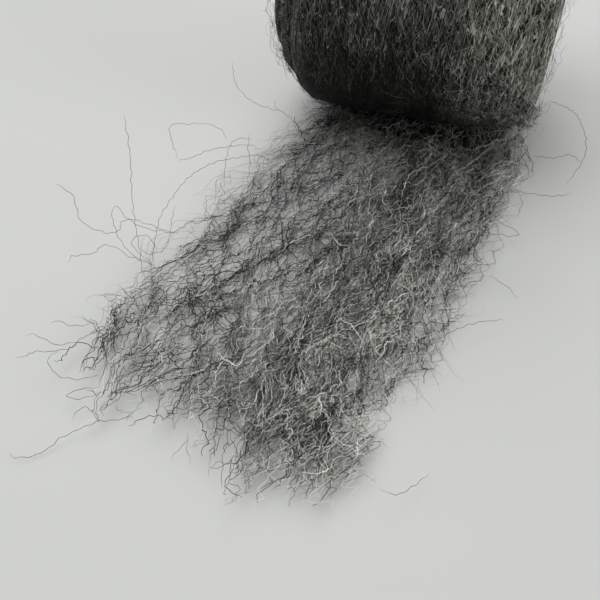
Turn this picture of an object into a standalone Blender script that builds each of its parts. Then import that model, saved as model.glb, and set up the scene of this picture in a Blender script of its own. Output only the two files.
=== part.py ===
"""Steel wool ribbon: a soft roll on its side, with the ribbon's free end drawn out flat along the table.

The whole object is one piece, a long batt of steel fibre. It is swept here as one closed solid: a
cross-section runs from the torn end along the table to the foot of the roll, and on through the turns to the
inner end of the winding. The roll's axis is X, the free end runs towards -Y, and the origin is the middle of
the roll's foot, on the table. Lengths are in metres.
"""

import math
import random

import bmesh
import bpy
from mathutils import Vector

# The winding
RIBBON_WIDTH = 0.100
ROLL_RADIUS = 0.0500
LAYER_GAP = 0.0008
TURNS = 6.25
EYE_RADIUS = 0.0015
FOOT_SAG = 0.0023
FINE_STEPS = 32
COARSE_STEPS = 16
FINE_TURNS = 3

# The turns' edges step back on the outside of the roll: reach along the axis, and depth into the roll
LEFT_STEP_REACH = 0.044
LEFT_STEP_DEPTH = 0.034
RIGHT_STEP_REACH = 0.009
RIGHT_STEP_DEPTH = 0.017
STEP_CROWN = 0.0020
WINDING_DRIFT = 0.0012

# The roll is softer at its two ends, so its radius droops there: share of the radius, and reach
LEFT_DROOP = 0.050
RIGHT_DROOP = 0.100
LEFT_DROOP_REACH = 0.030
RIGHT_DROOP_REACH = 0.034

# The free end
TAIL_LENGTH = 0.173
TAIL_SHIFT = 0.0100
TAIL_SKEW = math.radians(13)
SKEW_BEND = 0.030
TAIL_ROOT_WIDTH = 0.068
TAIL_END_WIDTH = 0.092
TAIL_THICKNESS = 0.0056
TAIL_END_THICKNESS = 0.0031
TAIL_SHAPING = 0.034
TAIL_STEP = 0.0052
END_LIFT = 0.0030
LIFT_LENGTH = 0.045

# Torn and ragged borders
END_TUFT = 0.0030
END_TUFT_PITCH = 0.047
END_TATTER = 0.0022
END_TATTER_PITCH = 0.021
END_CORNER = 0.0090
END_CORNER_ROUNDNESS = 6
END_SHAPING = 0.040
EDGE_WANDER = 0.0022
EDGE_WANDER_PITCH = 0.034
EDGE_TATTER = 0.0011
EDGE_TATTER_PITCH = 0.0125
EDGE_GROOVE = 0.0012

# Ropes of fibre, which ridge the faces: around the roll, and between the open cells of the free end
COLUMNS = 10
COLUMN_PARTS = 3
CELL_ROPE_RISE = 0.0019
ROPE_RISE = 0.0014
ROPE_PITCH = 0.021
ROPE_SWAY = 0.0045
ROPE_SWAY_LENGTH = 0.26

# Open cells between the fibres of the thin end
CELL_START = 0.044
CELL_END_MARGIN = 0.008
CELL_SIDE_MARGIN = 0.0050
CELL_PITCH_ALONG = 0.0125
CELL_PITCH_ACROSS = 0.0110
CELL_TIP_WEB = 0.0030
CELL_SIDE_WEB = 0.0020
CELL_LEAST_SIZE = 0.50
CELLS_KEPT_LEFT = 0.97
CELLS_KEPT_RIGHT = 0.62
CELL_CORNERS = 6
CELL_SEED = 11

LAYER_THICKNESS = (ROLL_RADIUS - EYE_RADIUS - LAYER_GAP * TURNS) / (TURNS + 1)
LAYER_PITCH = LAYER_THICKNESS + LAYER_GAP
AXIS_HEIGHT = ROLL_RADIUS - FOOT_SAG
FOOT_SQUEEZE = AXIS_HEIGHT / ROLL_RADIUS
FLAT_ANGLE = math.acos(FOOT_SQUEEZE)


def mix(low, high, share):
    return low + (high - low) * share


def smooth_step(value):
    value = min(max(value, 0.0), 1.0)
    return value * value * (3.0 - 2.0 * value)


def wave(place, pitch, start):
    return math.sin(math.tau * (place / pitch + start))


def furrow(along, across):
    """How deep, from 0 to 1, the furrow between two ropes of fibre is, at a place on the roll's face."""
    sway = ROPE_SWAY * wave(along, ROPE_SWAY_LENGTH, 0.1)
    return 0.5 - 0.5 * wave(across + sway, ROPE_PITCH, 0.15)


def cell_dip(distance, side):
    """How deep the free end dips, from 0 on a rope to 1 in the middle of a cell. The cells are staggered."""
    rows = math.cos(math.pi * ((distance - CELL_START) / CELL_PITCH_ALONG - 0.5))
    return 0.5 + 0.5 * rows * math.cos(math.tau * side / CELL_PITCH_ACROSS)


# The roll


def step_back(radius, reach, depth):
    """How far the edge of a turn at this radius stands back from the ribbon's full width."""
    outside = 1.0 - (ROLL_RADIUS + STEP_CROWN - radius) / depth
    if outside <= 0.0:
        return 0.0
    return reach * (1.0 - math.sqrt(max(1.0 - outside * outside, 0.0)))


def turn_edges(radius, angle):
    """The x of a turn's left and right edge at this radius. Each turn lies a little beside the last."""
    drift = WINDING_DRIFT * math.sin(angle) * smooth_step(angle / math.pi)
    left = -RIBBON_WIDTH / 2 + step_back(radius, LEFT_STEP_REACH, LEFT_STEP_DEPTH)
    right = RIBBON_WIDTH / 2 - step_back(radius, RIGHT_STEP_REACH, RIGHT_STEP_DEPTH)
    return left + drift, right + drift


def droop(x):
    """The share of its radius that the roll keeps at this place along its axis."""
    from_left = smooth_step((LEFT_DROOP_REACH - RIBBON_WIDTH / 2 - x) / LEFT_DROOP_REACH)
    from_right = smooth_step((x - RIBBON_WIDTH / 2 + RIGHT_DROOP_REACH) / RIGHT_DROOP_REACH)
    return 1.0 - LEFT_DROOP * from_left - RIGHT_DROOP * from_right


def outer_radius(angle):
    """Radius of the ribbon's outer face. The stretch on the foot keeps the full radius, so it is flat."""
    return ROLL_RADIUS - LAYER_PITCH * max(angle - FLAT_ANGLE, 0.0) / math.tau


def foot_factor(angle):
    """How much the roll's own weight shortens its radius at this angle from the foot."""
    folded = abs((angle + math.pi) % math.tau - math.pi)
    if folded >= FLAT_ANGLE:
        return 1.0
    return AXIS_HEIGHT / (ROLL_RADIUS * math.cos(folded))


def wound_point(angle, x, height):
    """A point of the wound ribbon. Height is measured in from the turn's outer face."""
    radius = (outer_radius(angle) - height) * foot_factor(angle) * droop(x)
    return Vector((x, radius * math.sin(angle), AXIS_HEIGHT - radius * math.cos(angle)))


def face_points(left, right, height_at, columns=COLUMNS):
    """(x, height) pairs across one face of the ribbon, from the left edge to the right one."""
    points = []
    for column in range(columns + 1):
        share = column / columns
        x = mix(left + EDGE_GROOVE, right - EDGE_GROOVE, share)
        points.append((x, height_at(x, math.sin(math.pi * share))))
    return points


def wound_outline(angle, inner_columns=COLUMNS):
    """The ribbon's cross-section in the winding: outer face, right edge, inner face, left edge."""
    radius = outer_radius(angle)
    rise = ROPE_RISE * smooth_step(angle / FLAT_ANGLE - 1.0)

    def outer_height(x, from_edge):
        return rise * furrow(radius * angle, x) * from_edge

    def inner_height(x, from_edge):
        return LAYER_THICKNESS

    half = LAYER_THICKNESS / 2
    left, right = turn_edges(radius - half, angle)
    outline = face_points(*turn_edges(radius, angle), outer_height)
    outline.append((right, half))
    inner_edges = turn_edges(radius - LAYER_THICKNESS, angle)
    outline += reversed(face_points(*inner_edges, inner_height, inner_columns))
    outline.append((left, half))
    return outline


# The free end


def tail_centre(distance):
    """The free end's middle and heading at this distance from the foot: an arc, then a straight run."""
    bend_radius = SKEW_BEND / TAIL_SKEW
    heading = TAIL_SKEW * min(distance / SKEW_BEND, 1.0)
    straight = max(distance - SKEW_BEND, 0.0)
    x = TAIL_SHIFT - bend_radius * (1.0 - math.cos(heading)) - straight * math.sin(heading)
    y = -bend_radius * math.sin(heading) - straight * math.cos(heading)
    return Vector((x, y, 0.0)), heading


def tail_point(distance, side, height):
    centre, heading = tail_centre(distance)
    across = Vector((math.cos(heading), -math.sin(heading), 0.0))
    lift = END_LIFT * smooth_step(1.0 - (TAIL_LENGTH - distance) / LIFT_LENGTH)
    return centre + across * side + Vector((0.0, 0.0, height + lift))


def tail_half_width(distance):
    return mix(TAIL_ROOT_WIDTH, TAIL_END_WIDTH, distance / TAIL_LENGTH) / 2


def ragged(distance, start):
    """How far the free end's edge wanders out at this distance. The start sets the two edges apart."""
    wander = EDGE_WANDER * wave(distance, EDGE_WANDER_PITCH, start)
    return wander + EDGE_TATTER * wave(distance, EDGE_TATTER_PITCH, 2.6 * start)


def torn_reach(side):
    """How much further than its length the torn end reaches, at this distance from its middle."""
    tufts = END_TUFT * wave(side, END_TUFT_PITCH, 0.90) + END_TATTER * wave(side, END_TATTER_PITCH, 0.55)
    return tufts - END_CORNER * (side / (TAIL_END_WIDTH / 2)) ** END_CORNER_ROUNDNESS


def tail_outline(distance):
    """The ribbon's cross-section on the table, in the winding's order. Its upper face has finer columns."""
    thickness = mix(TAIL_THICKNESS, TAIL_END_THICKNESS, distance / TAIL_LENGTH)
    left = -tail_half_width(distance) - ragged(distance, 0.2)
    right = tail_half_width(distance) + ragged(distance, 0.7)
    edge = thickness / 2

    def lower_height(x, from_edge):
        return 0.0

    def upper_height(x, from_edge):
        dip = CELL_ROPE_RISE * cell_dip(distance, x) * from_edge
        return thickness - dip - (thickness - edge) * (1.0 - from_edge) ** 4

    outline = face_points(left, right, lower_height)
    outline.append((right, edge / 2))
    outline += reversed(face_points(left, right, upper_height, COLUMNS * COLUMN_PARTS))
    outline.append((left, edge / 2))
    return outline


def root_outline():
    """The winding's cross-section at the foot, measured as the free end's sections are."""
    outline = []
    for x, height in wound_outline(0.0, COLUMNS * COLUMN_PARTS):
        outline.append((x - TAIL_SHIFT, wound_point(0.0, x, height).z))
    return outline


# The solid


def tail_sections():
    """Sections from the torn end to just before the foot."""
    count = max(round(TAIL_LENGTH / TAIL_STEP), 8)
    root = root_outline()
    sections = []
    for step in range(count, 0, -1):
        distance = TAIL_LENGTH * step / count
        shaping = smooth_step(distance / TAIL_SHAPING)
        tearing = smooth_step(1.0 - (TAIL_LENGTH - distance) / END_SHAPING)
        points = []
        for (root_side, root_height), (free_side, free_height) in zip(root, tail_outline(distance)):
            side = mix(root_side, free_side, shaping)
            height = mix(root_height, free_height, shaping)
            points.append(tail_point(distance + tearing * torn_reach(side), side, height))
        sections.append(points)
    return sections


def winding_angles():
    """Angles from the foot inwards: fine steps in the outer turns, and coarser ones in the inner turns."""
    angles = [math.tau * step / FINE_STEPS for step in range(FINE_TURNS * FINE_STEPS)]
    count = round((TURNS - FINE_TURNS) * COARSE_STEPS)
    return angles + [math.tau * (FINE_TURNS + step / COARSE_STEPS) for step in range(count + 1)]


def wound_sections():
    """Sections from the foot to the inner end of the winding."""
    sections = []
    for angle in winding_angles():
        sections.append([wound_point(angle, x, height) for x, height in wound_outline(angle)])
    return sections


def ring_rows(ring):
    """A ring's corners as four rows: outer face, inner face, left edge and right edge."""
    outer = ring[: COLUMNS + 1]
    inner = ring[-2 : COLUMNS + 1 : -1]
    left_edge = (outer[0], ring[-1], inner[0])
    right_edge = (outer[-1], ring[COLUMNS + 1], inner[-1])
    return outer, inner, left_edge, right_edge


def join_rows(body, first, second):
    """Faces between two rows of corners. Triangles gather the first row, where finer, onto the second."""
    parts = (len(first) - 1) // (len(second) - 1)
    for index, (near, after) in enumerate(zip(first, first[1:])):
        column, part = divmod(index, parts)
        left, right = second[column], second[column + 1]
        if part < parts // 2:
            body.faces.new((near, after, left))
        elif part == parts // 2:
            body.faces.new((near, after, right, left))
        else:
            body.faces.new((near, after, right))


def close_section(body, ring):
    """Caps a section: a strip of faces between the ribbon's two faces, and a triangle at each edge."""
    outer, inner, left_edge, right_edge = ring_rows(ring)
    join_rows(body, inner, outer)
    body.faces.new(left_edge)
    body.faces.new(right_edge)


def swept_mesh(name, sections):
    """One closed body through the sections."""
    body = bmesh.new()
    rings = [[body.verts.new(point) for point in section] for section in sections]
    for first, second in zip(rings, rings[1:]):
        for row, next_row in zip(ring_rows(first), ring_rows(second)):
            join_rows(body, row, next_row)
    close_section(body, rings[0])
    close_section(body, rings[-1])
    return finished_mesh(name, body)


def finished_mesh(name, body):
    bmesh.ops.recalc_face_normals(body, faces=body.faces)
    mesh = bpy.data.meshes.new(name)
    body.to_mesh(mesh)
    body.free()
    return mesh


# The open cells


def cell_places():
    """(distance, side, length, width) of each open cell, in staggered rows that thin out towards the right.

    A cell's tips reach in between the cells of the next rows. Where two such cells lie side by side, each
    has its girth, a share of its greatest width, and the web is what is left between them.
    """
    chance = random.Random(CELL_SEED)
    rows = int((TAIL_LENGTH - CELL_END_MARGIN - CELL_START) / CELL_PITCH_ALONG)
    longest = 2 * (CELL_PITCH_ALONG - CELL_TIP_WEB)
    girth = math.sqrt(1.0 - (CELL_PITCH_ALONG / longest) ** 2)
    widest = (CELL_PITCH_ACROSS / 2 - CELL_SIDE_WEB) / girth
    places = []
    for row in range(rows):
        distance = CELL_START + CELL_PITCH_ALONG * (row + 0.5)
        reach = tail_half_width(distance) - CELL_SIDE_MARGIN
        stagger = 0.5 * (row % 2)
        first = math.ceil(-reach / CELL_PITCH_ACROSS - stagger)
        last = math.floor(reach / CELL_PITCH_ACROSS - stagger)
        for column in range(first, last + 1):
            size = chance.uniform(CELL_LEAST_SIZE, 1.0)
            side = CELL_PITCH_ACROSS * (column + stagger)
            slack = (1.0 - size) * girth * widest / 2
            side += chance.uniform(-slack, slack)
            if chance.random() < mix(CELLS_KEPT_LEFT, CELLS_KEPT_RIGHT, (side + reach) / (2 * reach)):
                places.append((distance, side, longest * size, widest * size))
    return places


def lens_outline(length, width):
    """Corners of a lens, the long way along the fibres, as (along, across)."""
    corners = []
    for corner in range(CELL_CORNERS):
        turn = math.tau * corner / CELL_CORNERS
        corners.append((length / 2 * math.cos(turn), width / 2 * math.sin(turn)))
    return corners


def add_cell(body, distance, side, length, width):
    """A lens-shaped prism through the whole thickness."""
    rings = []
    for height in (-2 * TAIL_THICKNESS, 2 * TAIL_THICKNESS):
        corners = lens_outline(length, width)
        rings.append([body.verts.new(tail_point(distance + a, side + b, height)) for a, b in corners])
    low, high = rings
    body.faces.new(low)
    body.faces.new(high[::-1])
    for index in range(CELL_CORNERS):
        after = (index + 1) % CELL_CORNERS
        body.faces.new((low[index], high[index], high[after], low[after]))


def cell_cutter(name):
    body = bmesh.new()
    for place in cell_places():
        add_cell(body, *place)
    return finished_mesh(name, body)


# The scene


def steel_material():
    material = bpy.data.materials.new("steel_fibre")
    material.use_nodes = True
    shader = material.node_tree.nodes["Principled BSDF"]
    shader.inputs["Base Color"].default_value = (0.16, 0.16, 0.155, 1.0)
    shader.inputs["Metallic"].default_value = 0.85
    shader.inputs["Roughness"].default_value = 0.45
    return material


def link(name, mesh):
    thing = bpy.data.objects.new(name, mesh)
    bpy.context.scene.collection.objects.link(thing)
    return thing


def main():
    for old in list(bpy.data.objects):
        bpy.data.objects.remove(old)
    wool = link("wool_ribbon", swept_mesh("wool_ribbon", tail_sections() + wound_sections()))
    wool.data.materials.append(steel_material())
    wool.data.shade_smooth()
    wool.data.set_sharp_from_angle(angle=math.radians(50))
    cutter = link("open_cells", cell_cutter("open_cells"))
    cutter.hide_render = True
    cutter.display_type = "WIRE"
    cells = wool.modifiers.new("open_cells", "BOOLEAN")
    cells.operation = "DIFFERENCE"
    cells.object = cutter


main()
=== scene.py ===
import math

import bmesh
import bpy
from mathutils import Matrix, Vector


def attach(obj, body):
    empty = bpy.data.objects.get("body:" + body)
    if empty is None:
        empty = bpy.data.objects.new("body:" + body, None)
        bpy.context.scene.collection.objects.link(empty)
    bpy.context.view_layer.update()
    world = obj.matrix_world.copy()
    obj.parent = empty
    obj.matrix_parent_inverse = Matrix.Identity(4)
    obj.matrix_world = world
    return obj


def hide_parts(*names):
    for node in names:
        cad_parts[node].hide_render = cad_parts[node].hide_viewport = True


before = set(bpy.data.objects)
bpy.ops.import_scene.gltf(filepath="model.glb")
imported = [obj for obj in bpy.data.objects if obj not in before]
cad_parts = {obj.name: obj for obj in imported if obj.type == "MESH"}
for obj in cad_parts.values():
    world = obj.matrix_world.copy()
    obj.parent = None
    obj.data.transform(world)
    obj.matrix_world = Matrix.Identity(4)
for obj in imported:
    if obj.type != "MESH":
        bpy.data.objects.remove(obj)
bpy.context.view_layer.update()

# Lengths are in metres and angles in radians, in the frame's own axes: the roll's axis is X, and the ribbon's
# free end runs towards -Y. The ribbon's sizes are those of the frame.

# The winding
RIBBON_WIDTH = 0.100
ROLL_RADIUS = 0.0500
LAYER_GAP = 0.0008
TURNS = 6.25
EYE_RADIUS = 0.0015
FOOT_SAG = 0.0023
LEFT_STEP_REACH = 0.044
LEFT_STEP_DEPTH = 0.034
RIGHT_STEP_REACH = 0.009
RIGHT_STEP_DEPTH = 0.017
STEP_CROWN = 0.0020
WINDING_DRIFT = 0.0012
LEFT_DROOP = 0.050
RIGHT_DROOP = 0.100
LEFT_DROOP_REACH = 0.030
RIGHT_DROOP_REACH = 0.034

# The free end
TAIL_LENGTH = 0.173
TAIL_SHIFT = 0.0100
TAIL_SKEW = math.radians(13)
SKEW_BEND = 0.030
TAIL_ROOT_WIDTH = 0.068
TAIL_END_WIDTH = 0.092
END_LIFT = 0.0030
LIFT_LENGTH = 0.045
END_TUFT = 0.0030
END_TUFT_PITCH = 0.047
END_TATTER = 0.0022
END_TATTER_PITCH = 0.021
END_CORNER = 0.0090
END_CORNER_ROUNDNESS = 6
END_SHAPING = 0.040

# The open cells of the free end lie in staggered rows
CELL_START = 0.044
CELL_PITCH_ALONG = 0.0125
CELL_PITCH_ACROSS = 0.0110

LAYER_THICKNESS = (ROLL_RADIUS - EYE_RADIUS - LAYER_GAP * TURNS) / (TURNS + 1)
LAYER_PITCH = LAYER_THICKNESS + LAYER_GAP
AXIS_HEIGHT = ROLL_RADIUS - FOOT_SAG
FLAT_ANGLE = math.acos(AXIS_HEIGHT / ROLL_RADIUS)


def mix(low, high, share):
    return low + (high - low) * share


def smooth_step(value):
    value = min(max(value, 0.0), 1.0)
    return value * value * (3.0 - 2.0 * value)


def wave(place, pitch, start):
    return math.sin(math.tau * (place / pitch + start))


def even(count):
    return [step / count for step in range(count + 1)]


def placed(name, data):
    """An object in the scene with this mesh, light or lens."""
    thing = bpy.data.objects.new(name, data)
    bpy.context.scene.collection.objects.link(thing)
    return thing


def join_rings(body, first, second):
    """The band of faces between two rings of corners."""
    for index in range(len(first)):
        after = (index + 1) % len(first)
        body.faces.new((first[index], first[after], second[after], second[index]))


def mesh_piece(name, body, finish):
    """A piece of the faces laid in a body, all turned outwards."""
    bmesh.ops.recalc_face_normals(body, faces=body.faces)
    mesh = bpy.data.meshes.new(name)
    body.to_mesh(mesh)
    body.free()
    mesh.materials.append(finish)
    return placed(name, mesh)


# Node trees


class Term:
    """A socket that Python arithmetic works on: each operator adds the Math node that does it."""

    def __init__(self, graph, socket):
        self.graph = graph
        self.socket = socket

    def __add__(self, other):
        return self.graph.math("ADD", self, other)

    def __radd__(self, other):
        return self.graph.math("ADD", other, self)

    def __sub__(self, other):
        return self.graph.math("SUBTRACT", self, other)

    def __rsub__(self, other):
        return self.graph.math("SUBTRACT", other, self)

    def __mul__(self, other):
        return self.graph.math("MULTIPLY", self, other)

    def __rmul__(self, other):
        return self.graph.math("MULTIPLY", other, self)

    def __truediv__(self, other):
        return self.graph.math("DIVIDE", self, other)

    def __rtruediv__(self, other):
        return self.graph.math("DIVIDE", other, self)

    def __pow__(self, other):
        return self.graph.math("POWER", self, other)


class Graph:
    """A node tree, with one method that adds any node and short ones for what is used often."""

    def __init__(self, tree):
        self.tree = tree
        self.tree.nodes.clear()

    def add(self, kind, settings=None, sockets=None):
        """Adds a node. Its settings are set first, then its sockets, each by name or number."""
        node = self.tree.nodes.new(kind)
        for name, value in (settings or {}).items():
            setattr(node, name, value)
        for key, value in (sockets or {}).items():
            self.plug(node.inputs[key], value)
        return node

    def plug(self, socket, value):
        if isinstance(value, Term):
            value = value.socket
        if isinstance(value, bpy.types.NodeSocket):
            self.tree.links.new(value, socket)
        else:
            socket.default_value = value

    def term(self, node, output=0):
        return Term(self, node.outputs[output])

    def math(self, operation, *values):
        return self.term(self.add("ShaderNodeMath", {"operation": operation}, dict(enumerate(values))))

    def between(self, value, low, high):
        """The value, held between two limits."""
        return self.math("MINIMUM", self.math("MAXIMUM", value, low), high)

    def xyz(self, x, y, z):
        return self.add("ShaderNodeCombineXYZ", sockets={0: x, 1: y, 2: z}).outputs[0]

    def parts(self, vector):
        """The three numbers of a vector."""
        node = self.add("ShaderNodeSeparateXYZ", sockets={0: vector})
        return [self.term(node, axis) for axis in range(3)]

    def noise(self, vector, scale=1.0, detail=2.0, roughness=0.5):
        """A smooth random number from 0 to 1."""
        sockets = {"Vector": vector, "Scale": scale, "Detail": detail, "Roughness": roughness}
        return self.term(self.add("ShaderNodeTexNoise", sockets=sockets))

    def wander(self, vector, detail=1.0):
        """Three smooth random numbers about 0."""
        node = self.add("ShaderNodeTexNoise", sockets={"Vector": vector, "Scale": 1.0, "Detail": detail})
        return [2.0 * part - 1.0 for part in self.parts(node.outputs["Color"])]


# The ribbon's own shape


def outer_radius(angle):
    """Radius of the ribbon's outer face. The first stretch, on the foot, keeps the full radius."""
    return ROLL_RADIUS - LAYER_PITCH * max(angle - FLAT_ANGLE, 0.0) / math.tau


def step_back(radius, reach, depth):
    """How far the edge of a turn at this radius stands back from the ribbon's full width."""
    outside = 1.0 - (ROLL_RADIUS + STEP_CROWN - radius) / depth
    if outside <= 0.0:
        return 0.0
    return reach * (1.0 - math.sqrt(max(1.0 - outside * outside, 0.0)))


def turn_edges(radius, angle):
    """The x of a turn's left and right edge at this radius."""
    drift = WINDING_DRIFT * math.sin(angle) * smooth_step(angle / math.pi)
    left = -RIBBON_WIDTH / 2 + step_back(radius, LEFT_STEP_REACH, LEFT_STEP_DEPTH)
    right = RIBBON_WIDTH / 2 - step_back(radius, RIGHT_STEP_REACH, RIGHT_STEP_DEPTH)
    return left + drift, right + drift


def shoulder_radius(x):
    """Radius of the smooth shoulder that touches the stepped edges of the turns."""
    from_left = min(max(x + RIBBON_WIDTH / 2, 0.0) / LEFT_STEP_REACH, 1.0)
    from_right = min(max(RIBBON_WIDTH / 2 - x, 0.0) / RIGHT_STEP_REACH, 1.0)
    left = LEFT_STEP_DEPTH * (1.0 - math.sqrt(1.0 - (1.0 - from_left) ** 2))
    right = RIGHT_STEP_DEPTH * (1.0 - math.sqrt(1.0 - (1.0 - from_right) ** 2))
    return ROLL_RADIUS + STEP_CROWN - max(left, right)


def droop(x):
    """The share of its radius that the roll keeps at this place along its axis."""
    from_left = smooth_step((LEFT_DROOP_REACH - RIBBON_WIDTH / 2 - x) / LEFT_DROOP_REACH)
    from_right = smooth_step((x - RIBBON_WIDTH / 2 + RIGHT_DROOP_REACH) / RIGHT_DROOP_REACH)
    return 1.0 - LEFT_DROOP * from_left - RIGHT_DROOP * from_right


def foot_factor(angle):
    """How much the roll's own weight shortens its radius at this angle from the foot."""
    folded = abs((angle + math.pi) % math.tau - math.pi)
    if folded >= FLAT_ANGLE:
        return 1.0
    return AXIS_HEIGHT / (ROLL_RADIUS * math.cos(folded))


def round_axis(angle, x, radius):
    """A point at this angle from the foot and this radius, on the roll as it lies."""
    radius = radius * foot_factor(angle) * droop(x)
    return Vector((x, radius * math.sin(angle), AXIS_HEIGHT - radius * math.cos(angle)))


def tail_centre(distance):
    """The middle of the free end and its heading, at this distance from the foot."""
    bend_radius = SKEW_BEND / TAIL_SKEW
    heading = TAIL_SKEW * min(max(distance, 0.0) / SKEW_BEND, 1.0)
    straight = max(distance - SKEW_BEND, 0.0) + min(distance, 0.0)
    x = TAIL_SHIFT - bend_radius * (1.0 - math.cos(heading)) - straight * math.sin(heading)
    y = -bend_radius * math.sin(heading) - straight * math.cos(heading)
    return Vector((x, y, 0.0)), heading


def tail_half_width(distance):
    return mix(TAIL_ROOT_WIDTH, TAIL_END_WIDTH, distance / TAIL_LENGTH) / 2


def torn_reach(side):
    """How much further than its length the torn end reaches, at this distance from its middle."""
    side = min(max(side, -TAIL_END_WIDTH / 2), TAIL_END_WIDTH / 2)
    tufts = END_TUFT * wave(side, END_TUFT_PITCH, 0.90) + END_TATTER * wave(side, END_TATTER_PITCH, 0.55)
    return tufts - END_CORNER * (side / (TAIL_END_WIDTH / 2)) ** END_CORNER_ROUNDNESS


def tail_point(distance, side, height):
    tearing = smooth_step(1.0 - (TAIL_LENGTH - distance) / END_SHAPING)
    distance = distance + tearing * torn_reach(side)
    centre, heading = tail_centre(distance)
    across = Vector((math.cos(heading), -math.sin(heading), 0.0))
    lift = END_LIFT * smooth_step(1.0 - (TAIL_LENGTH - distance) / LIFT_LENGTH)
    return centre + across * side + Vector((0.0, 0.0, height + lift))


# Sheets that the fibres follow. Each has its run along u and its width along v.


class Sheet:
    """A helper grid, with the run and the width in metres that its u and v stand for. A flipped one faces
    the other way."""

    def __init__(self, name, steps, run, width, point_at, flipped):
        self.run = run
        self.width = width
        runs = even(steps[0])
        sides = even(steps[1])
        if flipped:
            sides = [1.0 - v for v in sides]
        mesh = bpy.data.meshes.new(name)
        points = [point_at(u, v) for u in runs for v in sides]
        row = len(sides)
        faces = []
        for i in range(len(runs) - 1):
            for j in range(row - 1):
                corner = i * row + j
                faces.append((corner, corner + 1, corner + row + 1, corner + row))
        mesh.from_pydata(points, [], faces)
        places = mesh.uv_layers.new(name="ribbon")
        for loop in mesh.loops:
            places.data[loop.index].uv = (runs[loop.vertex_index // row], sides[loop.vertex_index % row])
        mesh.shade_smooth()
        self.thing = placed(name, mesh)

    def remove(self):
        bpy.data.objects.remove(self.thing)


# The steps of each sheet, along it and across it
TAIL_SHEET_STEPS = (64, 24)
FACE_SHEET_STEPS = (96, 40)
WINDING_SHEET_STEPS = (420, 8)

TAIL_BEHIND = 0.016
TAIL_BEYOND = 0.024
TAIL_OVERHANG = 1.30
FUZZ_ROOT_WIDTH = 0.076


def tail_sheet():
    """The underside of the free end, from behind the foot to beyond the torn end and its two sides."""
    run = TAIL_BEHIND + TAIL_LENGTH + TAIL_BEYOND
    width = TAIL_OVERHANG * TAIL_END_WIDTH

    def point_at(u, v):
        distance = u * run - TAIL_BEHIND
        half_width = mix(FUZZ_ROOT_WIDTH, TAIL_END_WIDTH, distance / TAIL_LENGTH) / 2
        return tail_point(distance, (2 * v - 1) * TAIL_OVERHANG * half_width, 0.0)

    return Sheet("tail_sheet", TAIL_SHEET_STEPS, run, width, point_at, flipped=True)


# The roll's face: the angle at which it starts, its width over both shoulders, and how far it reaches to each
# side, as a share of the ribbon's width
FACE_START = 0.20
FACE_WIDTH = 0.128
FACE_REACH = 0.4995


def face_sheet():
    """The outside of the roll with its two shoulders, from the foot up the back, over and down the front."""
    run = (math.tau - FACE_START) * (ROLL_RADIUS - LAYER_PITCH / 2)

    def point_at(u, v):
        angle = mix(FACE_START, math.tau, u)
        x = FACE_REACH * RIBBON_WIDTH * math.sin(math.pi * (v - 0.5))
        radius = min(outer_radius(angle), shoulder_radius(x))
        return round_axis(angle, x, radius)

    return Sheet("face_sheet", FACE_SHEET_STEPS, run, FACE_WIDTH, point_at, flipped=True)


WINDING_START = 0.4
WINDING_OVERHANG = 1.04


def winding_sheet():
    """The middle of the ribbon through all its turns, a little wider than the ribbon."""
    inner_angle = TURNS * math.tau
    average = (ROLL_RADIUS + EYE_RADIUS) / 2
    run = (inner_angle - WINDING_START) * average

    def point_at(u, v):
        angle = mix(WINDING_START, inner_angle, u)
        radius = outer_radius(angle) - LAYER_THICKNESS / 2
        left, right = turn_edges(radius, angle)
        reach = (right - left) / 2 * WINDING_OVERHANG
        return round_axis(angle, (left + right) / 2 + (2 * v - 1) * reach, radius)

    width = RIBBON_WIDTH * WINDING_OVERHANG
    return Sheet("winding_sheet", WINDING_SHEET_STEPS, run, width, point_at, flipped=False)


# The fibres


# What each bed is told, which of its inputs aren't plain numbers, and its sizes where it is told no others
BED_GIVEN = ["Sheet", "Finish", "Strands", "Seed", "Sheet Run", "Sheet Width"]
BED_KINDS = {"Sheet": "Object", "Finish": "Material", "Strands": "Int", "Knees": "Int", "Seed": "Int"}
BED_DEFAULTS = {
    "Knees": 32,
    "Run Low": 0.0,
    "Run High": 1.2,
    "Ragged": 0.0,
    "Side Low": -1.0,
    "Side High": 1.0,
    "Waist": 0.0,
    "Shortest": 0.025,
    "Longest": 0.040,
    "Spread": 0.5,
    "Rise Low": 0.0,
    "Rise High": 0.001,
    "Thinning": 0.0,
    "Gather": 0.0,
    "Gather Run": 0.028,
    "Gather Width": 0.010,
    "Cell Start": CELL_START,
    "Cell Along": CELL_PITCH_ALONG,
    "Cell Across": CELL_PITCH_ACROSS,
    "Cell Pull": 0.0,
    "Cell Dip": 0.0,
    "Lean": 1.0,
    "Fray": 0.0,
    "Wave": 0.0040,
    "Wave Length": 0.011,
    "Crinkle": 0.0016,
    "Crinkle Length": 0.0030,
    "Thin": 0.00005,
    "Thick": 0.00010,
}

# A fibre that would reach past the torn end turns back there in a small hook, and none sinks into the table
HOOK_BEND = 0.0016
TABLE_GAP = 0.00018

# The middle of a fibre keeps these shares of its length clear of the start and the end of its bed
CLEAR_OF_START = 0.40
CLEAR_OF_END = 0.42

# Where the right border draws in, as shares of the sheet's run
WAIST_MIDDLE = 0.80
WAIST_REACH = 0.14

# The cells open over this run, and they open wider to the left
CELL_FADE_IN = 0.03
CELL_OPENING = 0.6
CELL_OPENING_TO_LEFT = 0.8

# How far apart in the noise the fibres of a bed lie, and the beds themselves
NEXT_FIBRE = 5.37
NEXT_BED = 0.71

# A fibre sways up and down by this share of its sway to the side, and its tips are thinner by this share. Its
# fraying grows with this power of the run, and its thinning sets in with this power of the way to its tip.
UPWARD_SWAY = 0.4
TIP_THINNING = 0.7
FRAY_POWER = 8.0
TIP_POWER = 6.0

# The sheet is read within these shares of its run and width
SHEET_START = 0.002
SHEET_END = 0.998


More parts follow.
